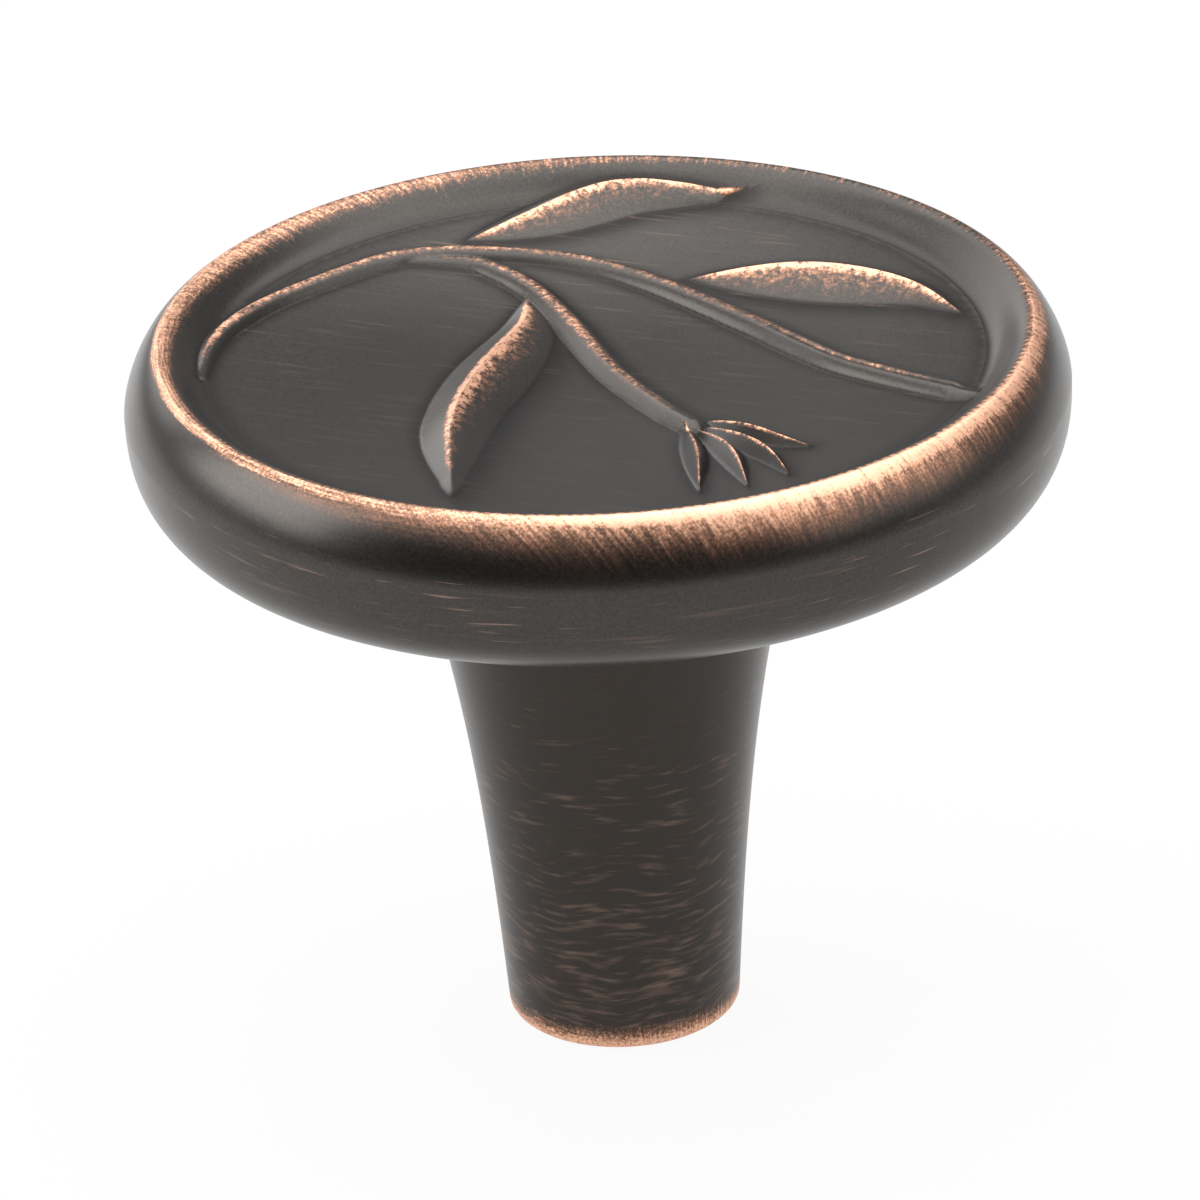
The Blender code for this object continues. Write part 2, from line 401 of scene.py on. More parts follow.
    def _floor_scratches(self, graph: Graph, place: bpy.types.NodeSocket) -> Value:
        """A few faint streaks on the dish floor, as their share of scuffed plating."""
        turned = graph.node("ShaderNodeVectorRotate", {"rotation_type": "Z_AXIS"},
                            {"Vector": place, "Angle": self.scratch_turn}).outputs[0]
        scale = (1 / (self.scratch_length * MM), 1 / (self.scratch_spacing * MM), 1.0)
        return graph.noise(turned, scale, 2.0, 0.55).ramp(0.56, 0.84) * self.scratch_level


# Shapes

def ease(share: np.ndarray | float) -> np.ndarray:
    """A smooth step from 0 to 1."""
    share = np.clip(share, 0.0, 1.0)
    return share * share * (3 - 2 * share)


def soft_max(first: np.ndarray, second: np.ndarray, blend: float) -> np.ndarray:
    """The higher of two heights, with a fillet where they are less than the blend apart."""
    reach = np.maximum(blend - np.abs(first - second), 0.0) / blend
    return np.maximum(first, second) + reach * reach * blend / 4


@dataclass
class TurnedShape:
    """The knob's turned surface, from the dish floor over the rim and down to the foot."""

    radius: float
    height: float
    rim_inset: float = 1.55 * MM
    shoulder_drop: float = 2.69 * MM
    belly_drop: float = 4.91 * MM
    underside_inset: float = 6.12 * MM
    shoulder_fullness: float = 1.5
    belly_fullness: float = 2.68
    dish_depth: float = 1.3 * MM
    rim_inner_width: float = 2.0 * MM
    floor_sag: float = 0.12 * MM
    stem_diameters: tuple[float, ...] = (9.96 * MM, 10.92 * MM, 12.0 * MM, 15.56 * MM)
    foot_edge: float = 0.33 * MM
    flare_height: float = 2.89 * MM
    shoulder_points: int = 19
    belly_points: int = 21
    flare_points: int = 13
    stem_points: int = 34
    edge_points: int = 6

    @property
    def crest_radius(self) -> float:
        """Radius of the rim's highest line."""
        return self.radius - self.rim_inset

    @property
    def floor_radius(self) -> float:
        """Radius at which the dish floor meets the rim."""
        return self.crest_radius - self.rim_inner_width

    @property
    def widest_z(self) -> float:
        """Height of the head's widest line."""
        return self.height - self.shoulder_drop

    @property
    def stem_top_z(self) -> float:
        """Height at which the stem meets the fillet under the head."""
        return self.widest_z - self.belly_drop - self.flare_height

    def dish_z(self, radius: np.ndarray) -> np.ndarray:
        """Height of the dish inside the crest, without its relief.

        Args:
            radius: Distances from the axis.

        Returns:
            The heights.
        """
        floor_edge = self.height - self.dish_depth
        share = np.minimum(radius / self.floor_radius, 1.0)
        climb = np.clip((radius - self.floor_radius) / self.rim_inner_width, 0.0, 1.0)
        rise = 0.5 - 0.5 * np.cos(np.pi * climb)
        return floor_edge - self.floor_sag * (1 - share ** 2) + self.dish_depth * rise

    def outside(self) -> np.ndarray:
        """Points (radius, height) from the crest over the side and down to the foot's face."""
        turns = np.linspace(math.pi / 2, 0.0, self.shoulder_points)
        shoulder = self._quarter(turns, self.radius - self.rim_inset, self.rim_inset,
                                 self.shoulder_drop, self.shoulder_fullness)
        turns = np.linspace(0.0, -math.pi / 2, self.belly_points)[1:]
        belly = self._quarter(turns, self.radius - self.underside_inset, self.underside_inset,
                              self.belly_drop, self.belly_fullness)
        upper = np.array([*shoulder, *belly, *self._flare(), *self._stem()]) + [0.0, self.widest_z]
        turns = np.linspace(0.0, math.pi / 2, self.edge_points)[1:]
        edge = np.stack([upper[-1, 0] - self.foot_edge * (1 - np.cos(turns)),
                         self.foot_edge * (1 - np.sin(turns))], 1)
        return np.vstack([upper, edge])

    @staticmethod
    def _quarter(turns: np.ndarray, centre: float, reach: float, drop: float, fullness: float,
                 ) -> list[tuple[float, float]]:
        """Points on a quarter superellipse, relative to the widest line's height.

        Args:
            turns: Angles of the points.
            centre: Radius of the curve's centre.
            reach: Its extent outwards.
            drop: Its extent up or down.
            fullness: Its exponent.

        Returns:
            Points (radius, height over the widest line).
        """
        power = 2 / fullness
        return [(centre + reach * abs(math.cos(a)) ** power,
                 math.copysign(drop * abs(math.sin(a)) ** power, math.sin(a))) for a in turns]

    def _flare(self) -> list[tuple[float, float]]:
        """Points on the fillet from the underside into the stem."""
        upper, top = self.stem_diameters[2:]
        lean = math.atan(3 * (top - upper) / 2 / self.stem_top_z)
        radius = self.flare_height / (1 - math.sin(lean))
        return [(top / 2 + radius * (math.cos(lean) - math.cos(a)),
                 self.stem_top_z + radius * (math.sin(a) - math.sin(lean)) - self.widest_z)
                for a in np.linspace(math.pi / 2, lean, self.flare_points)]

    def _stem(self) -> list[tuple[float, float]]:
        """Points down the stem's side."""
        points = []
        for t in np.linspace(1.0, self.foot_edge / self.stem_top_z, self.stem_points)[1:]:
            weights = ((1 - t) ** 3, 3 * t * (1 - t) ** 2, 3 * t ** 2 * (1 - t), t ** 3)
            points.append((sum(w * d / 2 for w, d in zip(weights, self.stem_diameters)),
                           t * self.stem_top_z - self.widest_z))
        return points


class Section(Enum):
    """Cross-sections of the relief."""

    ROUNDED = "low rounded stem"
    RIDGED = "two slopes that meet in a ridge"


@dataclass
class ReliefStrip:
    """One raised piece of the ornament, which follows a path on the dish floor."""

    name: str
    number: int
    path: tuple[tuple[float, float], ...]
    section: Section
    half_widths: tuple[float, float]
    height: float
    stations: tuple[float, ...] = (0.0, 1.0)
    widths_at: tuple[float, ...] = (1.0, 1.0)
    heights_at: tuple[float, ...] = (1.0, 1.0)
    wear_at: tuple[float, ...] = (1.0, 1.0)
    worn_side: float = -1.0
    wear_offset: float = 0.0
    core_reach: float = 0.3 * MM
    fade_reach: float = 1.6 * MM
    fade_level: float = 0.45
    outer_slope: float = 0.7
    tip_share: float = 0.03
    groove: float = 0.0
    groove_from: float = 0.7
    groove_run: float = 0.12
    groove_width: float = 0.17 * MM
    patina: float = 0.0
    shade_reach: float = 0.3 * MM
    lean: float = 0.85
    slope_bow: float = 0.2
    back_core: float = 0.75
    end_gain: float = 9.0
    end_wear: float = 0.25
    samples: int = 241
    points: np.ndarray = field(default=None, repr=False)
    lengths: np.ndarray = field(default=None, repr=False)

    def lay_out(self, floor_radius: float) -> None:
        """Work out the path in metres.

        Args:
            floor_radius: The dish floor's radius, of which the path's points are shares.
        """
        drawn = np.array(self.path) * floor_radius
        drawn = np.vstack([2 * drawn[0] - drawn[1], drawn, 2 * drawn[-1] - drawn[-2]])
        found = []
        for place in np.linspace(0.0, len(self.path) - 1.0, self.samples):
            first = min(int(place), len(self.path) - 2)
            t = place - first
            a, b, c, d = drawn[first:first + 4]
            found.append(0.5 * (2 * b + (c - a) * t + (2 * a - 5 * b + 4 * c - d) * t ** 2
                                + (3 * b - a - 3 * c + d) * t ** 3))
        self.points = np.array(found)
        steps = np.linalg.norm(np.diff(self.points, axis=0), axis=1)
        self.lengths = np.concatenate([[0.0], np.cumsum(steps)])

    def locate(self, where: np.ndarray) -> tuple[np.ndarray, np.ndarray]:
        """Find points' places along and across the strip.

        Args:
            where: Points on the floor, one a row.

        Returns:
            The length along the path, and the signed distance from it, left side positive.
        """
        along = np.empty(len(where))
        across = np.empty(len(where))
        starts, spans = self.points[:-1], np.diff(self.points, axis=0)
        squares = (spans ** 2).sum(1)
        for chunk in np.array_split(np.arange(len(where)), max(1, len(where) // 4000)):
            offset = where[chunk][:, None, :] - starts[None]
            share = np.clip((offset * spans).sum(2) / squares, 0.0, 1.0)
            gap = offset - share[:, :, None] * spans
            distance = np.linalg.norm(gap, axis=2)
            best = distance.argmin(1)
            rows = np.arange(len(chunk))
            along[chunk] = self.lengths[best] + share[rows, best] * np.sqrt(squares[best])
            turn = spans[best, 0] * offset[rows, best, 1] - spans[best, 1] * offset[rows, best, 0]
            across[chunk] = distance[rows, best] * np.where(turn >= 0, 1.0, -1.0)
        return along, across

    def swell(self, share: np.ndarray) -> tuple[np.ndarray, np.ndarray]:
        """Width and height along the strip, as shares of the full ones.

        Args:
            share: Places along the strip, from 0 to 1.

        Returns:
            The two shares.
        """
        width = np.interp(share, self.stations, self.widths_at)
        height = np.interp(share, self.stations, self.heights_at)
        if self.section is Section.RIDGED:
            swell = 1 - self.tip_share
            width = width * (self.tip_share + swell * np.sin(np.pi * share ** self.lean))
            height = height * (self.tip_share + swell * np.sin(np.pi * share) ** 0.9)
        return width, height

    def half_width(self, along: np.ndarray, across: np.ndarray) -> np.ndarray:
        """Half the strip's width, on the side on which each point lies."""
        side = np.where(across >= 0, self.half_widths[0], self.half_widths[1])
        return side * self.swell(along / self.lengths[-1])[0]

    def box(self, where: np.ndarray, margin: float) -> np.ndarray:
        """Which points lie in the box round the strip, widened by a margin."""
        reach = max(self.half_widths) * max(self.widths_at) + margin
        low, high = self.points.min(0) - reach, self.points.max(0) + reach
        return ((where > low) & (where < high)).all(1)

    def lift(self, where: np.ndarray) -> tuple[np.ndarray, np.ndarray, np.ndarray]:
        """Height of the strip over the floor, falling below 0 outside it.

        Args:
            where: Points on the floor, one a row.

        Returns:
            The height, the length along, and the signed distance across.
        """
        along, across = self.locate(where)
        height = self.swell(along / self.lengths[-1])[1]
        half = self.half_width(along, across)
        out = np.minimum(np.abs(across) / np.maximum(half, 0.02 * MM), 1.0)
        beyond = np.maximum(np.abs(across) - half, 0.0)
        bow = 1.0 if self.section is Section.ROUNDED else self.slope_bow
        shape = 1 - (1 - bow) * out - bow * out ** 2
        split = ease((along / self.lengths[-1] - self.groove_from) / self.groove_run)
        shape = shape - self.groove * split * np.exp(-(across / self.groove_width) ** 2)
        return self.height * height * shape - self.outer_slope * beyond, along, across

    def bareness(self, along: np.ndarray, across: np.ndarray) -> np.ndarray:
        """How far the strip is rubbed: most along its ridge, less down the side that is worn.

        Args:
            along: Lengths along the strip.
            across: Signed distances across it.

        Returns:
            The wear, 0 away from the ridge.
        """
        share = along / self.lengths[-1]
        narrow = np.minimum(self.swell(share)[0], 1.0)
        worn = (across - self.wear_offset) * self.worn_side
        near = np.where(worn >= 0, self.core_reach, self.back_core * self.core_reach) * (0.3 + 0.7 * narrow)
        run = np.maximum(self.fade_reach * narrow, 0.01 * MM)
        fade = self.fade_level * np.clip(1 - worn / run, 0.0, 1.0) * (worn >= 0)
        peak = 1.0 - self.fade_level * (worn >= 0) * (self.fade_reach > 0)
        level = peak * np.exp(-(worn / near) ** 2) + fade
        ends = np.clip(np.minimum(share, 1 - share) * self.end_gain + self.end_wear, 0.0, 1.0)
        return level * ends * np.interp(share, self.stations, self.wear_at)

    def ridge_points(self, spacing: float) -> np.ndarray:
        """Points along the ridge, so that the mesh has its edges there."""
        count = max(3, int(self.lengths[-1] / spacing))
        places = np.linspace(0.0, self.lengths[-1], count)
        return np.stack([np.interp(places, self.lengths, self.points[:, i]) for i in (0, 1)], 1)


def ornament() -> list[ReliefStrip]:
    """The vine, its branch, the leaves and the flower, drawn in shares of the floor's radius."""
    vine = ReliefStrip(
        "vine", 1,
        ((-1.02, -0.04), (-1.0, 0.12), (-0.945, 0.27), (-0.81, 0.445), (-0.56, 0.645), (-0.43, 0.68),
         (-0.3, 0.675), (-0.055, 0.6), (0.155, 0.435), (0.4, 0.15), (0.525, -0.012), (0.645, -0.15),
         (0.88, -0.325), (0.95, -0.35)),
        Section.ROUNDED, (0.68 * MM, 0.68 * MM), 0.44 * MM,
        stations=(0.0, 0.12, 0.5, 0.8, 0.98, 1.0), widths_at=(0.5, 0.9, 1.0, 1.15, 1.15, 0.7),
        heights_at=(0.3, 0.95, 1.0, 1.15, 1.1, 0.5), wear_at=(0.5, 0.66, 0.46, 0.38, 0.46, 0.3),
        wear_offset=0.1 * MM, core_reach=0.42 * MM, fade_reach=0.0, groove=0.2)
    branch = ReliefStrip(
        "branch", 2,
        ((-0.5, 0.655), (-0.35, 0.63), (-0.27, 0.575), (-0.16, 0.425), (-0.06, 0.18), (0.04, -0.116),
         (0.16, -0.352), (0.23, -0.46)),
        Section.ROUNDED, (0.7 * MM, 0.7 * MM), 0.46 * MM,
        stations=(0.0, 0.2, 0.5, 1.0), widths_at=(0.4, 0.95, 1.0, 0.95), heights_at=(0.3, 0.95, 1.0, 0.95),
        wear_at=(0.3, 0.46, 0.6, 0.38), wear_offset=0.1 * MM, core_reach=0.42 * MM, fade_reach=0.0)
    leaf = {"section": Section.RIDGED, "height": 1.04 * MM, "shade_reach": 0.75 * MM}
    back_leaf = ReliefStrip(
        "back_leaf", 3, ((-0.325, 0.775), (-0.165, 0.855), (0.06, 0.99), (0.24, 1.0), (0.44, 0.965)),
        half_widths=(1.95 * MM, 1.95 * MM), wear_at=(0.9, 0.6), fade_reach=2.4 * MM, fade_level=0.55,
        **leaf)
    right_leaf = ReliefStrip(
        "right_leaf", 4, ((0.26, 0.462), (0.41, 0.437), (0.55, 0.405), (0.73, 0.338), (0.85, 0.27),
                          (0.945, 0.165)),
        half_widths=(1.95 * MM, 1.95 * MM), wear_at=(0.95, 0.8), fade_reach=2.6 * MM, fade_level=0.55,
        **leaf)
    front_leaf = ReliefStrip(
        "front_leaf", 5, ((-0.17, 0.38), (-0.185, 0.16), (-0.28, -0.12), (-0.345, -0.325),
                          (-0.372, -0.51), (-0.37, -0.8)),
        half_widths=(1.95 * MM, 1.68 * MM), stations=(0.0, 0.6, 0.93, 1.0),
        widths_at=(1.0, 1.0, 1.35, 2.4), heights_at=(1.0, 1.0, 1.0, 1.0), wear_at=(1.0, 0.95, 0.35, 0.1),
        worn_side=1.0, wear_offset=-0.12 * MM, core_reach=0.4 * MM, fade_reach=2.6 * MM, fade_level=0.5,
        **leaf)
    petals = (((0.215, -0.46), (0.24, -0.65), (0.24, -0.845)),
              ((0.245, -0.48), (0.325, -0.65), (0.36, -0.825)),
              ((0.265, -0.465), (0.405, -0.64), (0.465, -0.77)),
              ((0.27, -0.43), (0.43, -0.565), (0.525, -0.61)))
    strips = [vine, branch, back_leaf, right_leaf, front_leaf]
    for number, path in enumerate(petals, start=6):
        strips.append(ReliefStrip(
            f"petal_{number - 5}", number, path, Section.RIDGED, (0.45 * MM, 0.6 * MM), 0.5 * MM,
            core_reach=0.14 * MM, fade_reach=0.2 * MM, wear_at=(0.75, 0.55), patina=0.9, lean=0.9))
    return strips


@dataclass
class Patch:
    """A piece of mesh under construction: its points and faces, and the vectors that the finish reads."""

    points: np.ndarray
    faces: list[tuple[int, ...]]
    layers: dict[str, np.ndarray]


@dataclass
class Dish:
    """The dished face: the floor, the rim's inner slope and the relief, as one fine mesh.

    The gaps beside the ridges and between the grids are in shares of the fine spacing.
    """

    shape: TurnedShape
    strips: list[ReliefStrip]
    rim_points: int = 256
    coarse: float = 0.3 * MM
    fine: float = 0.095 * MM
    apron: float = 0.22 * MM
    fillet: float = 0.08 * MM
    slope_rings: int = 12
    floor_gap: float = 0.1 * MM
    crest_gap: float = 0.15 * MM
    ridge_gap: float = 0.62
    grid_gap: float = 0.6
    merging: float = 1e-7
    scuff_fade: float = 1.5 * MM
    scuff_height: float = 0.02 * MM
    # Painted shade in the colour: a dark band at the rim's inner foot and contact shadows beside the
    # relief.
    corner_shade_depth: float = 0.68
    corner_shade_width: float = 0.55 * MM
    corner_shade_height: float = 0.2 * MM
    side_shade: float = 0.3 * MM
    skirt_shade: float = 0.06 * MM

    def build(self, rim: RimWear) -> Patch:
        """Mesh the dish inside the rim's crest.

        Args:
            rim: How the rim is rubbed.

        Returns:
            The mesh and its texture numbers.
        """
        flat = self._seeds()
        found = delaunay_2d_cdt([Vector(p) for p in flat / MM], [], [], 0, self.merging)
        flat = np.array([tuple(p) for p in found[0]]) * MM
        radius = np.linalg.norm(flat, axis=1)
        ground = self.shape.dish_z(radius)
        height, grain, ridge, painted_shade_and_patina = self._relief(flat, ground)
        edge = radius > self.shape.crest_radius - 0.01 * MM
        height[edge] = self.shape.height
        angle = np.arctan2(flat[:, 1], flat[:, 0])
        inward = (radius - self.shape.crest_radius) / MM
        on_floor = ease((self.shape.floor_radius - radius) / self.scuff_fade)
        on_floor = on_floor * (height - ground < self.scuff_height)
        none = np.zeros(len(flat))
        return Patch(np.column_stack([flat, height]), [tuple(face) for face in found[2]], {
            "around": around_axis(angle, inward),
            "hatch": rim.hatched(angle, inward),
            "grain": grain,
            "wear": np.stack([rim.band(angle, inward), ridge, none], 1),
            "lay": np.stack([rim.lay(angle), on_floor, rim.strokes(angle, inward)], 1),
            # dish holds: inside the dish, painted shade with patina, and the stem's painted shade.
            "dish": np.stack([none + 1, painted_shade_and_patina, none], 1),
        })

    def _seeds(self) -> np.ndarray:
        """Points to mesh: rings on the rim's slope, a coarse grid, and a fine one at the relief."""
        turns = np.arange(self.rim_points) * 2 * np.pi / self.rim_points
        crest = self.shape.crest_radius
        rings = []
        slope_end = self.shape.floor_radius + self.floor_gap
        for row, radius in enumerate(np.linspace(crest, slope_end, self.slope_rings)):
            staggered = turns + np.pi / self.rim_points * (row % 2)
            rings.append(radius * np.stack([np.cos(staggered), np.sin(staggered)], 1))
        outer, slope = rings[0], np.vstack(rings[1:])
        coarse = self._grid(self.coarse, self.shape.floor_radius - self.floor_gap)
        fine = self._grid(self.fine, crest - self.crest_gap)
        ridges = np.vstack([s.ridge_points(self.fine) for s in self.strips])
        near = self._near(fine, self.apron)
        fine = fine[near & (self._distance(fine, ridges) > self.ridge_gap * self.fine)]
        inside = np.linalg.norm(ridges, axis=1) < crest - self.floor_gap
        ridges = self._thin(ridges[inside], self.fine / 2)
        others = np.vstack([slope, coarse])
        others = others[~self._near(others, self.apron + self.grid_gap * self.fine)]
        return np.vstack([outer, others, ridges, fine])

    @staticmethod
    def _grid(spacing: float, radius: float) -> np.ndarray:
        """A triangular grid of points within a circle."""
        steps = int(radius / spacing) + 2
        i, j = np.meshgrid(np.arange(-steps, steps + 1), np.arange(-steps * 2, steps * 2 + 1))
        points = np.stack([(i + 0.5 * (j % 2)) * spacing, j * spacing * math.sqrt(3) / 2], -1)
        points = points.reshape(-1, 2)
        return points[np.linalg.norm(points, axis=1) < radius]

    @staticmethod
    def _distance(points: np.ndarray, marks: np.ndarray) -> np.ndarray:
        """Each point's distance to the nearest mark."""
        found = np.empty(len(points))
        for chunk in np.array_split(np.arange(len(points)), max(1, len(points) // 2000)):
            gaps = points[chunk][:, None, :] - marks[None]
            found[chunk] = np.sqrt((gaps ** 2).sum(2).min(1))
        return found

    @staticmethod
    def _thin(points: np.ndarray, spacing: float) -> np.ndarray:
        """Leave out points that lie closer to an earlier one than the spacing."""
        cells, kept = {}, []
        for point in points:
            cell = (int(point[0] // spacing), int(point[1] // spacing))
            near = [cells[c] for c in ((cell[0] + i, cell[1] + j) for i in (-1, 0, 1) for j in (-1, 0, 1))
                    if c in cells]
            if all(np.hypot(*(point - other)) >= spacing for other in near):
                cells[cell] = point
                kept.append(point)
        return np.array(kept)

    def _near(self, points: np.ndarray, apron: float) -> np.ndarray:
        """Which points lie on a piece of relief or within an apron of it."""
        near = np.zeros(len(points), bool)
        for strip in self.strips:
            candidates = np.flatnonzero(strip.box(points, apron) & ~near)
            if len(candidates):
                along, across = strip.locate(points[candidates])
                near[candidates] = np.abs(across) < strip.half_width(along, across) + apron
        return near

    def _relief(self, flat: np.ndarray, ground: np.ndarray) -> tuple[np.ndarray, ...]:
        """Raise the relief.

        Args:
            flat: Points in plan.
            ground: Heights of the bare dish there.

        Returns:
            Heights with the relief, texture coordinates along it, its wear, and how far a point lies in the
            painted shade of the corner round it, with the petals' patina added.
        """
        height = ground.copy()
        grain = np.column_stack([flat / MM, np.zeros(len(flat))])
        ridge = np.zeros(len(flat))
        patina = np.zeros(len(flat))
        owner = np.full(len(flat), -1.0)
        radius = np.linalg.norm(flat, axis=1)
        # Painted shade: a dark band along the foot of the rim's inner slope.
        foot = (radius - self.shape.floor_radius) / self.corner_shade_width
        corner = self.corner_shade_depth * np.exp(-foot ** 2)
        share = np.minimum(radius / self.shape.floor_radius, 1.0)
        base = self.shape.height - self.shape.dish_depth - self.shape.floor_sag * (1 - share ** 2)
        for strip in self.strips:
            near = np.flatnonzero(strip.box(flat, 2 * self.apron))
            lift, along, across = strip.lift(flat[near])
            height[near] = soft_max(height[near], base[near] + lift, self.fillet)
            ridge[near] = np.maximum(ridge[near], strip.bareness(along, across))
            # Painted contact shadow beside each strip, as wide as its shade reach on its worn side.
            above = base[near] + lift - ground[near]
            shade = np.where(across * strip.worn_side > 0, strip.shade_reach, self.side_shade)
            width = np.where(above < 0, shade, self.skirt_shade)
            corner[near] = np.maximum(corner[near], np.exp(-(above / width) ** 2))
            picked = lift > owner[near]
            mine = near[picked]
            owner[mine] = lift[picked]
            patina[mine] = strip.patina * ease(lift[picked] / self.skirt_shade)
            grain[mine] = np.stack([along[picked] / MM, across[picked] / MM,
                                    np.full(len(mine), 10.0 * strip.number)], 1)
        # The painted shade fades out up the sides of the relief.
        corner = corner * (1 - ease((height - ground) / self.corner_shade_height))
        return height, grain, ridge, np.maximum(corner, patina)


def around_axis(angle: np.ndarray, down: np.ndarray) -> np.ndarray:
    """Texture coordinates without a seam: the direction round the axis, and a length down."""
    return np.stack([np.cos(angle), np.sin(angle), down], 1)


class RimStation(NamedTuple):
    """How the rim is rubbed at one angle round the axis. Lengths are in millimetres."""

    degrees: float
    outward: float
    inward: float
    bareness: float
    reach: float
    strokes: float
    lay: float
    lean: float


@dataclass
class RimWear:
    """How the rim is rubbed: a bare band along the crest, and strokes that run off it.

    The stations run round the axis from the left over the front (-90 degrees), the right (0)
    and the back (90) to the left again.
    """

    stations: tuple[RimStation, ...] = (
        RimStation(-180, 0.33, 0.62, 0.78, 0.1, 0.0, 0.2, 0.06),
        RimStation(-160, 0.38, 0.4, 0.8, 0.4, 0.1, 0.0, 0.06),
        RimStation(-145, 0.46, 0.24, 0.74, 0.9, 0.4, 0.0, 0.06),
        RimStation(-130, 0.54, 0.15, 0.66, 1.3, 0.55, 0.1, 0.06),
        RimStation(-115, 0.6, 0.1, 0.66, 1.9, 0.75, 0.4, 0.06),
        RimStation(-100, 0.68, 0.1, 0.84, 2.7, 0.95, 0.9, 0.06),
        RimStation(-85, 0.82, 0.1, 1.0, 3.2, 1.05, 1.0, 0.035),
        RimStation(-60, 0.92, 0.1, 1.02, 2.9, 1.0, 1.0, 0.008),
        RimStation(-35, 0.88, 0.1, 0.97, 2.4, 0.92, 1.0, 0.003),
        RimStation(-15, 0.84, 0.12, 0.94, 1.8, 0.8, 1.0, 0.0),
        RimStation(5, 0.7, 0.2, 0.78, 0.9, 0.5, 0.9, 0.0),
        RimStation(25, 0.45, 0.25, 0.46, 0.4, 0.1, 0.9, 0.0),
        RimStation(55, 0.3, 0.3, 0.4, 0.2, 0.0, 0.9, 0.0),
        RimStation(85, 0.3, 0.5, 0.48, 0.2, 0.0, 0.9, 0.0),
        RimStation(115, 0.3, 0.7, 0.6, 0.2, 0.0, 0.9, 0.02),
        RimStation(145, 0.3, 0.78, 0.72, 0.1, 0.0, 0.8, 0.04),
        RimStation(180, 0.33, 0.62, 0.78, 0.1, 0.0, 0.2, 0.06),
    )
    band_core: float = 0.45
    band_fade: float = 1.1
    stroke_start: float = -0.2

    def _at(self, quality: str, angle: np.ndarray) -> np.ndarray:
        """A quality of the stations, read at angles between them."""
        return np.interp(np.degrees(angle), [station.degrees for station in self.stations],
                         [getattr(station, quality) for station in self.stations])

    def band(self, angle: np.ndarray, down: np.ndarray) -> np.ndarray:
        """How bare the band along the crest is.

        Args:
            angle: Angles round the axis, from +X.
            down: Millimetres from the crest, outwards positive and into the dish negative.

        Returns:
            The bareness, half of its full value at the band's edges.
        """
        side = np.where(down >= 0, self._at("outward", angle), self._at("inward", angle))
        fall = 1 - ease((np.abs(down) / side - self.band_core) / self.band_fade)
        return fall * self._at("bareness", angle)

    def strokes(self, angle: np.ndarray, down: np.ndarray) -> np.ndarray:
        """How thickly strokes lie beside the band, at angles and millimetres down from the crest."""
        share = np.clip(1 - down / self._at("reach", angle), 0.0, 1.0) * (down > self.stroke_start)
        return share * self._at("strokes", angle)

    def lay(self, angle: np.ndarray) -> np.ndarray:
        """Direction of the strokes: 0 along the rim, 1 across it."""
        return self._at("lay", angle)

    def hatched(self, angle: np.ndarray, down: np.ndarray) -> np.ndarray:
        """Coordinates for strokes across the rim, which lean as the stations say."""
        return around_axis(angle - self._at("lean", angle) * down, down)


def ring_faces(first: int, count: int, rings: int) -> list[tuple[int, ...]]:
    """Join rings of points, which follow each other, with quads.

    Args:
        first: Index of the first ring's first point.
        count: How many points a ring has.
        rings: How many rings there are.

    Returns:
        The faces.
    """
    faces = []
    for a in range(first, first + (rings - 1) * count, count):
        for i in range(count):
            j = (i + 1) % count
            faces.append((a + i, a + j, a + count + j, a + count + i))
    return faces


@dataclass
class TappedHole:
    """The blind screw hole in the foot, with its thread."""

    major: float = 4.0 * MM
    minor: float = 3.4 * MM
    pitch: float = 0.7 * MM
    depth: float = 12.0 * MM
    mouth: float = 0.5 * MM
    drill_angle: float = math.radians(118)
    crest_flat: float = 0.1
    segments: int = 64
    rings_per_turn: int = 8

    def points(self) -> np.ndarray:
        """Rings of points from the mouth to the bottom, and the drill's point after them."""
        turns = np.arange(self.segments) * 2 * np.pi / self.segments
        made = []
        for height in self._levels():
            phase = (height / self.pitch - turns / (2 * np.pi)) % 1.0
            crest = np.abs(2 * phase - 1)
            fade = np.clip((self.depth - height) / self.pitch - 1, 0.0, 1.0)
            flank = (crest - self.crest_flat) / (1 - 2 * self.crest_flat)
            groove = (self.major - self.minor) / 2 * np.clip(flank, 0.0, 1.0) * fade
            flare = max(0.0, self.mouth - height)
            radius = np.maximum(self.minor / 2 + groove, self.minor / 2 + flare)
            made.append(np.stack([radius * np.cos(turns), radius * np.sin(turns),
                                  np.full(self.segments, height)], 1))
        tip = self._levels()[-1] + self.minor / 2 / math.tan(self.drill_angle / 2)
        return np.vstack([*made, [0.0, 0.0, tip]])

    def faces(self, first: int) -> list[tuple[int, ...]]:
        """The faces of the wall and the drill's cone, whose points start at an index."""
        rings = len(self._levels())
        tip = first + rings * self.segments
        last = tip - self.segments
        cone = [(last + i, last + (i + 1) % self.segments, tip) for i in range(self.segments)]
        return ring_faces(first, self.segments, rings) + cone

    def _levels(self) -> np.ndarray:
        """Heights of the rings."""
        return np.arange(0.0, self.depth, self.pitch / self.rings_per_turn)


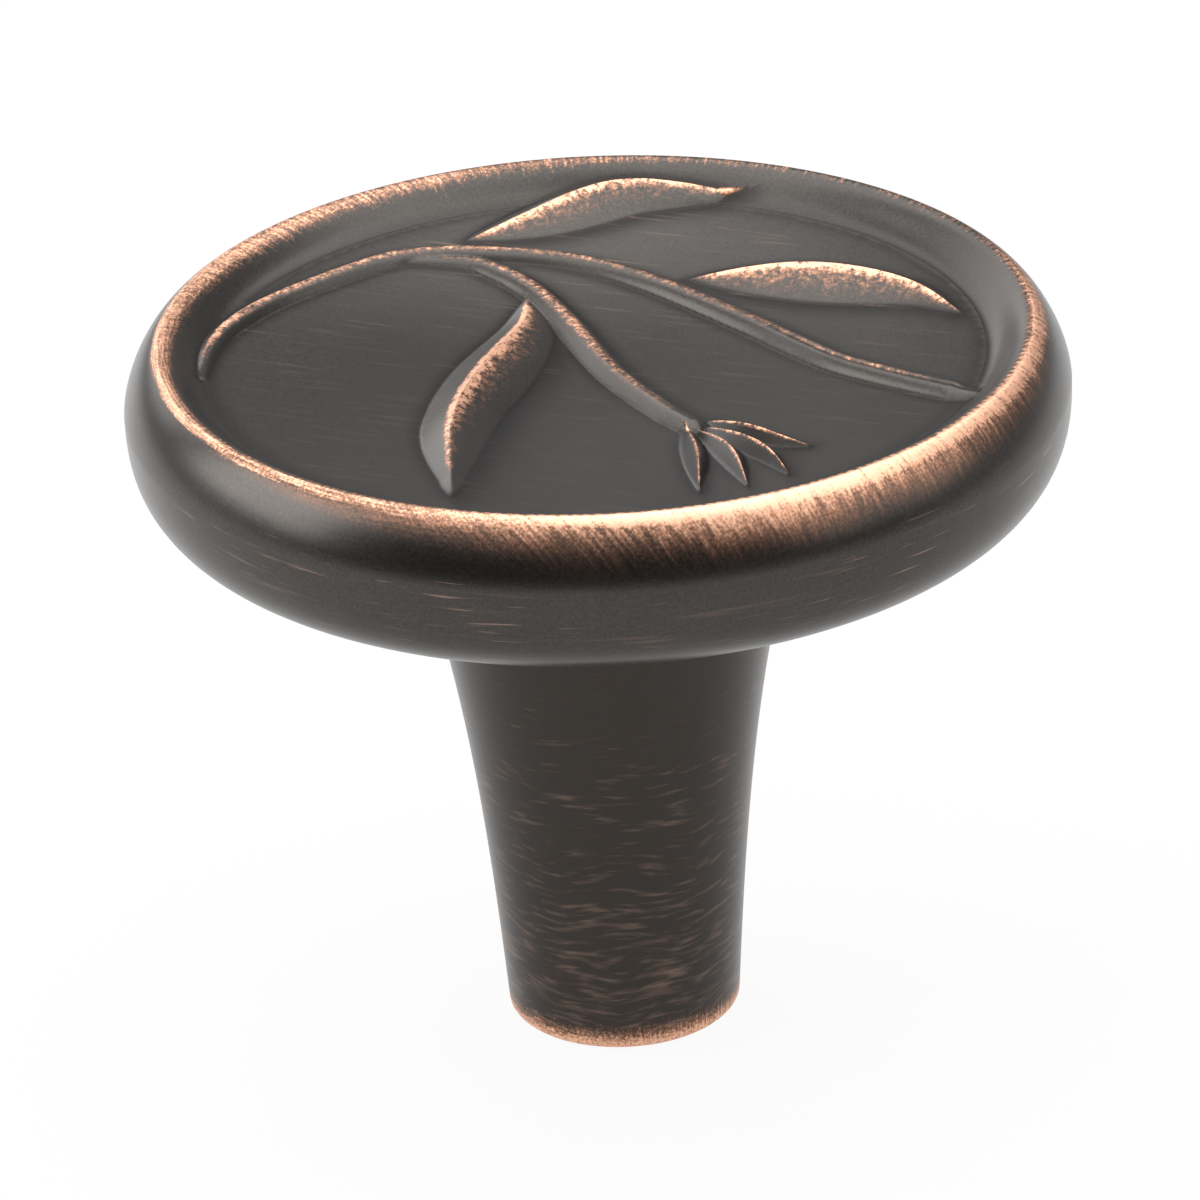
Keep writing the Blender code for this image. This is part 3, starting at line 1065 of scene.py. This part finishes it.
@dataclass
class KnobCasting:
    """The whole knob as one piece: dish, head, stem, foot and hole.

    The brushing is thick at the foot and light on the head's side; its heights are in millimetres.
    """

    shape: TurnedShape
    finish: RubbedBronze
    rim: RimWear = field(default_factory=RimWear)
    hole: TappedHole = field(default_factory=TappedHole)
    segments: int = 256
    sharp_angle: float = math.radians(50)
    weld_distance: float = 0.002 * MM
    foot_wear: float = 0.84
    foot_wear_from: float = 0.2 * MM
    foot_wear_run: float = 1.4 * MM
    # Painted shade on the stem: it starts at this height and reaches full strength over the run below it.
    stem_painted_shade_from: float = 24.0 * MM
    stem_painted_shade_run: float = 3.0 * MM
    brushed_heights: tuple[float, ...] = (0.0, 5.0, 12.0, 17.0, 22.0, 25.0, 28.5, 30.0)
    brushed_levels: tuple[float, ...] = (0.85, 0.85, 0.6, 0.35, 0.1, 0.42, 0.42, 0.0)

    def build(self) -> bpy.types.Object:
        """Mesh the knob and give it its finish.

        Returns:
            The object.
        """
        strips = ornament()
        for strip in strips:
            strip.lay_out(self.shape.floor_radius)
            LOG.info("%s: %.1f mm along the floor", strip.name, strip.lengths[-1] / MM)
        dish = Dish(self.shape, strips, self.segments).build(self.rim)
        body = self._turned()
        points = np.vstack([dish.points, body.points])
        faces = dish.faces + [tuple(i + len(dish.points) for i in f) for f in body.faces]
        mesh = bpy.data.meshes.new("knob_casting")
        mesh.from_pydata(points.tolist(), [], faces)
        for name in VECTOR_LAYERS:
            values = np.vstack([dish.layers[name], body.layers[name]])
            layer = mesh.attributes.new(name, "FLOAT_VECTOR", "POINT")
            layer.data.foreach_set("vector", values.astype(np.float32).ravel())
        self._weld(mesh)
        mesh.shade_smooth()
        mesh.set_sharp_from_angle(angle=self.sharp_angle)
        mesh.materials.append(self.finish.material(self.shape.crest_radius, self.shape.floor_radius))
        knob = bpy.data.objects.new("knob_casting", mesh)
        bpy.context.scene.collection.objects.link(knob)
        return knob

    def _weld(self, mesh: bpy.types.Mesh) -> None:
        """Join the patches where their edges meet, and turn every face outwards."""
        joined = bmesh.new()
        joined.from_mesh(mesh)
        open_edge = [v for v in joined.verts if v.is_boundary]
        bmesh.ops.remove_doubles(joined, verts=open_edge, dist=self.weld_distance)
        bmesh.ops.recalc_face_normals(joined, faces=joined.faces)
        joined.to_mesh(mesh)
        joined.free()

    def _turned(self) -> Patch:
        """Everything outside the rim's crest: rings of points, joined in order."""
        outline = self.shape.outside()
        steps = np.linalg.norm(np.diff(outline, axis=0), axis=1)
        down = np.concatenate([[0.0], np.cumsum(steps)]) / MM
        turns = np.arange(self.segments) * 2 * np.pi / self.segments
        angle = np.arctan2(np.sin(turns), np.cos(turns))
        plain = np.zeros(self.segments)
        points, rings = [], {name: [] for name in VECTOR_LAYERS}
        for (radius, height), depth in zip(outline, down):
            level = plain + depth
            bare = self.rim.band(angle, level) + self._foot_wear(height)
            points.append(around_axis(turns, plain + height) * [radius, radius, 1.0])
            rings["around"].append(around_axis(turns, level))
            rings["hatch"].append(self.rim.hatched(angle, level))
            rings["grain"].append(np.zeros((self.segments, 3)))
            rings["wear"].append(np.stack([bare, plain, plain + self._brushing(height)], 1))
            rings["lay"].append(np.stack([self.rim.lay(angle), plain, self.rim.strokes(angle, level)], 1))
            rings["dish"].append(self._painted_stem_shade(plain + height))
        hole = self.hole.points()
        for name in VECTOR_LAYERS:
            rings[name].append(np.zeros((len(hole), 3)))
        rings["dish"][-1] = self._painted_stem_shade(hole[:, 2])
        mouth = len(outline) * self.segments
        faces = ring_faces(0, self.segments, len(outline))
        faces += self._foot_faces(mouth) + self.hole.faces(mouth)
        layers = {name: np.vstack(rings[name]) for name in VECTOR_LAYERS}
        return Patch(np.vstack([*points, hole]), faces, layers)

    def _foot_faces(self, mouth: int) -> list[tuple[int, ...]]:
        """The foot's flat face.

        Args:
            mouth: Index of the first point of the hole's mouth, which follows the foot's ring.

        Returns:
            Triangles between the ring round the foot and the coarser one round the hole.
        """
        count, outer = self.hole.segments, mouth - self.segments
        ratio = self.segments // count
        faces = []
        for k in range(count):
            inner, following = mouth + k, mouth + (k + 1) % count
            middle = k * ratio + ratio // 2
            for i in range(k * ratio, (k + 1) * ratio):
                corner = inner if i < middle else following
                faces.append((outer + i, outer + (i + 1) % self.segments, corner))
            faces.append((inner, following, outer + middle))
        return faces

    def _painted_stem_shade(self, height: np.ndarray) -> np.ndarray:
        """The dish vector outside the dish: how far a point takes the stem's darker bronze, a painted shade
        under the head, from its height.
        """
        share = ease((self.stem_painted_shade_from - height) / self.stem_painted_shade_run)
        return np.outer(share, (0.0, 0.0, 1.0))

    def _foot_wear(self, height: float) -> float:
        """Wear of the foot's edge at a height."""
        return self.foot_wear * float(1 - ease((height - self.foot_wear_from) / self.foot_wear_run))

    def _brushing(self, height: float) -> float:
        """How thickly brush marks lie at a height."""
        return float(np.interp(height / MM, self.brushed_heights, self.brushed_levels))


# Studio

@dataclass(frozen=True)
class Softbox:
    """A soft area lamp, given by the brightness of its face."""

    name: str
    place: Triple
    size: tuple[float, float]
    brightness: float
    aim: Triple = (0.0, 0.0, 0.03)

    def light(self) -> bpy.types.Object:
        """Put up the lamp."""
        lamp = bpy.data.lights.new(self.name, "AREA")
        lamp.shape = "RECTANGLE"
        lamp.size, lamp.size_y = self.size
        lamp.energy = self.brightness * math.pi * self.size[0] * self.size[1]
        made = bpy.data.objects.new(self.name, lamp)
        made.location = self.place
        made.rotation_euler = (Vector(self.aim) - Vector(self.place)).to_track_quat("-Z", "Y").to_euler()
        made.visible_camera = False
        bpy.context.scene.collection.objects.link(made)
        return made


@dataclass
class Studio:
    """A pale floor, a light tent with softboxes above and at the sides, and a dark camera side."""

    floor_radius: float = 0.35
    floor_shine: tuple[float, float] = (0.0, 0.065)
    floor_colour: Triple = (0.62, 0.62, 0.62)
    floor_glow: float = 0.93
    backdrop_glow: float = 0.12
    overhead: float = 0.95
    surround: float = 0.28
    camera_side: float = 0.015
    softboxes: tuple[Softbox, ...] = (
        Softbox("top_softbox", (0.02, 0.11, 0.31), (0.44, 0.42), 2.45, (0.02, 0.11, 0.0)),
        Softbox("left_softbox", (-0.28, 0.0, 0.16), (0.24, 0.19), 4.8),
        Softbox("right_softbox", (0.245, -0.085, 0.165), (0.26, 0.2), 1.35),
        Softbox("back_left_softbox", (-0.147, 0.236, 0.14), (0.24, 0.16), 1.9),
    )

    def build(self) -> None:
        """Lay the floor, hang the lamps and set the surroundings."""
        for box in self.softboxes:
            box.light()
        self._floor()
        self._world()

    def _floor(self) -> None:
        """A round floor just under the foot, open to views from below."""
        mesh = bpy.data.meshes.new("floor")
        disc = bmesh.new()
        bmesh.ops.create_circle(disc, cap_ends=True, segments=96, radius=self.floor_radius)
        disc.to_mesh(mesh)
        disc.free()
        floor = bpy.data.objects.new("floor", mesh)
        floor.location.z = -0.05 * MM
        bpy.context.scene.collection.objects.link(floor)
        material = bpy.data.materials.new("pale_floor")
        material.use_nodes = True
        graph = Graph(material.node_tree)
        paint = graph.node("ShaderNodeBsdfDiffuse", None, {"Color": (*self.floor_colour, 1.0)})
        white = graph.node("ShaderNodeEmission", None, {"Color": (1, 1, 1, 1), "Strength": 1.0})
        x, y, _ = graph.parts(graph.node("ShaderNodeTexCoord").outputs["Object"])
        near = 1 - ((x * x + y * y) ** 0.5).ramp(*self.floor_shine)
        shown = graph.value("ShaderNodeLightPath", output="Is Glossy Ray") * near
        seen = graph.value("ShaderNodeLightPath", output="Is Camera Ray").highest(shown) * self.floor_glow
        top = graph.node("ShaderNodeMixShader", None, {0: seen, 1: paint.outputs[0], 2: white.outputs[0]})
        clear = graph.node("ShaderNodeBsdfTransparent")
        below = graph.node("ShaderNodeNewGeometry").outputs["Backfacing"]
        both = graph.node("ShaderNodeMixShader", None, {0: below, 1: top.outputs[0], 2: clear.outputs[0]})
        graph.node("ShaderNodeOutputMaterial", None, {"Surface": both.outputs[0]})
        mesh.materials.append(material)

    def _world(self) -> None:
        """White to the camera; bright round the object, darker on the camera's side."""
        world = bpy.data.worlds.new("studio")
        bpy.context.scene.world = world
        world.use_nodes = True
        graph = Graph(world.node_tree)
        way = graph.node("ShaderNodeTexCoord").outputs["Generated"]
        _, back, up = graph.parts(way)
        wall = self.camera_side + (self.surround - self.camera_side) * back.ramp(-0.5, -0.05)
        tone = wall + (self.overhead - wall) * up.ramp(0.46, 0.76)
        shown = graph.value("ShaderNodeLightPath", output="Is Glossy Ray") * back.ramp(0.0, 0.3)
        direct = graph.value("ShaderNodeLightPath", output="Is Camera Ray")
        seen = direct.highest(shown * self.backdrop_glow)
        strength = tone + (1 - tone) * seen
        shade = graph.node("ShaderNodeBackground", None, {"Color": (1, 1, 1, 1), "Strength": strength})
        graph.node("ShaderNodeOutputWorld", None, {"Surface": shade.outputs[0]})


@dataclass
class PhotoCamera:
    """The camera at the photograph's viewing angle."""

    target: Vector
    elevation: float = math.radians(26.125)
    roll: float = math.radians(2.583)
    distance: float = 304.8 * MM
    lens: float = 216.34
    target_pixel: tuple[float, float] = (606.6, 585.0)
    image_size: float = 1200.0

    def build(self) -> bpy.types.Object:
        """Place the camera.

        Returns:
            The camera.
        """
        data = bpy.data.cameras.new("camera")
        data.lens = self.lens
        data.sensor_width = 36.0
        data.clip_start, data.clip_end = 0.01, 10.0
        data.shift_x = (self.image_size / 2 - self.target_pixel[0]) / self.image_size
        data.shift_y = (self.target_pixel[1] - self.image_size / 2) / self.image_size
        camera = bpy.data.objects.new("camera", data)
        sine, cosine = math.sin(self.elevation), math.cos(self.elevation)
        back = Vector((0.0, -cosine, sine))
        level, upright = Vector((1.0, 0.0, 0.0)), Vector((0.0, sine, cosine))
        right = level * math.cos(self.roll) - upright * math.sin(self.roll)
        up = level * math.sin(self.roll) + upright * math.cos(self.roll)
        turn = Matrix((right, up, back)).transposed()
        camera.matrix_world = Matrix.Translation(self.target + back * self.distance) @ turn.to_4x4()
        bpy.context.scene.collection.objects.link(camera)
        bpy.context.scene.camera = camera
        return camera


def main() -> None:
    """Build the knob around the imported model, then the studio and the camera."""
    logging.basicConfig(level=logging.INFO, format="%(message)s")
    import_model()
    low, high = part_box(CAD_NODE)
    bpy.context.scene.view_settings.view_transform = "Standard"
    shape = TurnedShape(radius=(high.x - low.x) / 2, height=high.z)
    knob = KnobCasting(shape, RubbedBronze()).build()
    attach(knob, "root")
    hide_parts(CAD_NODE)
    knob.data.calc_loop_triangles()
    LOG.info("%s: %d triangles", knob.name, len(knob.data.loop_triangles))
    Studio().build()
    PhotoCamera(Vector((0.0, 0.0, 19.75 * MM))).build()


if __name__ == "__main__":
    main()
